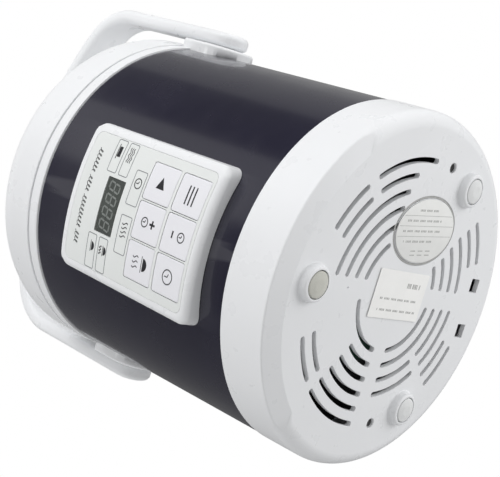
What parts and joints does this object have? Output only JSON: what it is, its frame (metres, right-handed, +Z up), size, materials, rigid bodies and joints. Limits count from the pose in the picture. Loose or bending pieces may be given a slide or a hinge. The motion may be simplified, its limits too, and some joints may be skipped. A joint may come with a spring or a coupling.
{
  "type": "car electric rice cooker",
  "caption": "Small electric rice cooker for vehicles: white body with a dark painted metal band, sloped control panel, hinged lid, folding bail handle, inner pot and vented base.",
  "frame": {"origin": "on the surface that the feet stand on, below the middle of the cooker", "axes": "+Z up from the base to the lid, -Y out of the control panel, +Y towards the lid hinge and supply inlet, +X on the right seen from the front"},
  "size_m": [0.218, 0.206, 0.314],
  "materials": {
    "white_abs": "smooth glossy moulding",
    "band_paint": "smooth dark gloss paint",
    "panel_film": "satin printed film",
    "key_film": "satin printed film",
    "smoked_window": "dark smoked window",
    "display_module": "black moulding",
    "foot_rubber": "matte",
    "silicone": "translucent white, matte",
    "bright_steel": "plated",
    "bare_aluminium": "pressed and cast, dull",
    "pot_coating": "dark non-stick coating",
    "pin_brass": "plated",
    "circuit_board": "green solder resist",
    "black_plastic": "fine moulded texture",
    "label_sheet": "thin grey plate and paper",
    "wire_red": "wire sleeve",
    "wire_white": "wire sleeve"
  },
  "bodies": {
    "root": {"base_cover": "white_abs", "base_label": "label_sheet", "base_screw_left": "bright_steel", "base_screw_right": "bright_steel", "board_screw_left": "bright_steel", "board_screw_right": "bright_steel", "control_board": "circuit_board", "display_window": "smoked_window", "foot_pad_front": "foot_rubber", "foot_pad_left": "foot_rubber", "foot_pad_right": "foot_rubber", "heat_sink": "bare_aluminium", "heater_lead_left": "wire_white", "heater_lead_right": "wire_white", "heating_element": "bright_steel", "heating_plate": "bare_aluminium", "hinge_pin": "bright_steel", "inlet_lead_left": "wire_red", "inlet_lead_right": "wire_red", "inlet_pin_left": "pin_brass", "inlet_pin_right": "pin_brass", "inner_liner": "bare_aluminium", "inner_pot": "pot_coating", "led_display": "display_module", "outer_band": "band_paint", "panel_cable": "label_sheet", "panel_housing": "white_abs", "panel_overlay": "panel_film", "power_board": "circuit_board", "power_capacitor": "black_plastic", "power_inlet": "black_plastic", "power_relay": "black_plastic", "rating_plate": "label_sheet", "sensor_bracket": "bright_steel", "sensor_lead": "wire_white", "sensor_spring": "bright_steel", "support_frame": "black_plastic", "thermal_fuse": "bright_steel", "upper_ring": "white_abs"},
    "lid": {"lid_shell": "white_abs", "lid_inner_cover": "white_abs", "lid_liner_plate": "bare_aluminium", "lid_gasket": "silicone", "liner_grommet": "silicone", "steam_tube": "silicone", "steam_cap": "white_abs", "button_spring": "bright_steel", "latch_spring": "bright_steel"},
    "lid_button": {"lid_button": "white_abs"},
    "lid_latch": {"lid_latch": "white_abs"},
    "handle_bushes": {"handle_bush_left": "black_plastic", "handle_bush_right": "black_plastic"},
    "bail": {"bail_handle": "white_abs"},
    "key_keep_warm": {"key_keep_warm": "key_film"},
    "key_hour_up": {"key_hour_up": "key_film"},
    "key_start": {"key_start": "key_film"},
    "key_timer": {"key_timer": "key_film"},
    "key_minute_down": {"key_minute_down": "key_film"},
    "key_function": {"key_function": "key_film"},
    "sensor": {"temperature_sensor": "bare_aluminium"}
  },
  "joints": [
    {"name": "lid_hinge", "type": "hinge", "parent": "root", "child": "lid", "pos_m": [0, 0.0975, 0.194], "axis": [-1, 0, 0], "range_deg": [0, 75]},
    {"name": "handle_carry", "type": "hinge", "parent": "root", "child": "handle_bushes", "pos_m": [0, 0, 0.175], "axis": [-1, 0, 0], "range_deg": [0, 108]},
    {"name": "bail_fold", "type": "hinge", "parent": "handle_bushes", "child": "bail", "pos_m": [0, 0, 0.175], "axis": [1, 0, 0], "range_deg": [0, 95]},
    {"name": "lid_button_press", "type": "slide", "parent": "lid", "child": "lid_button", "axis": [0, 0, -1], "range_m": [0, 0.0025], "stiffness_N_per_m": 600, "springref_m": -0.002, "deforming": ["button_spring"]},
    {"name": "lid_latch_slide", "type": "slide", "parent": "lid", "child": "lid_latch", "axis": [0, 1, 0], "range_m": [0, 0.0015], "deforming": ["latch_spring"]},
    {"name": "key_keep_warm_press", "type": "slide", "parent": "root", "child": "key_keep_warm", "axis": [0, 0.9981, -0.0623], "range_m": [0, 0.0005], "stiffness_N_per_m": 800, "springref_m": -0.001},
    {"name": "key_hour_up_press", "type": "slide", "parent": "root", "child": "key_hour_up", "axis": [0, 0.9981, -0.0623], "range_m": [0, 0.0005], "stiffness_N_per_m": 800, "springref_m": -0.001},
    {"name": "key_start_press", "type": "slide", "parent": "root", "child": "key_start", "axis": [0, 0.9981, -0.0623], "range_m": [0, 0.0005], "stiffness_N_per_m": 800, "springref_m": -0.001},
    {"name": "key_timer_press", "type": "slide", "parent": "root", "child": "key_timer", "axis": [0, 0.9981, -0.0623], "range_m": [0, 0.0005], "stiffness_N_per_m": 800, "springref_m": -0.001},
    {"name": "key_minute_down_press", "type": "slide", "parent": "root", "child": "key_minute_down", "axis": [0, 0.9981, -0.0623], "range_m": [0, 0.0005], "stiffness_N_per_m": 800, "springref_m": -0.001},
    {"name": "key_function_press", "type": "slide", "parent": "root", "child": "key_function", "axis": [0, 0.9981, -0.0623], "range_m": [0, 0.0005], "stiffness_N_per_m": 800, "springref_m": -0.001},
    {"name": "sensor_slide", "type": "slide", "parent": "root", "child": "sensor", "axis": [0, 0, -1], "range_m": [0, 0.002], "stiffness_N_per_m": 500, "springref_m": -0.002, "deforming": ["sensor_spring"]}
  ],
  "couplings": [
    {"joint": "handle_carry", "follows": "lid_hinge", "ratio": 1.44},
    {"joint": "lid_latch_slide", "follows": "lid_button_press", "ratio": 0.6}
  ]
}
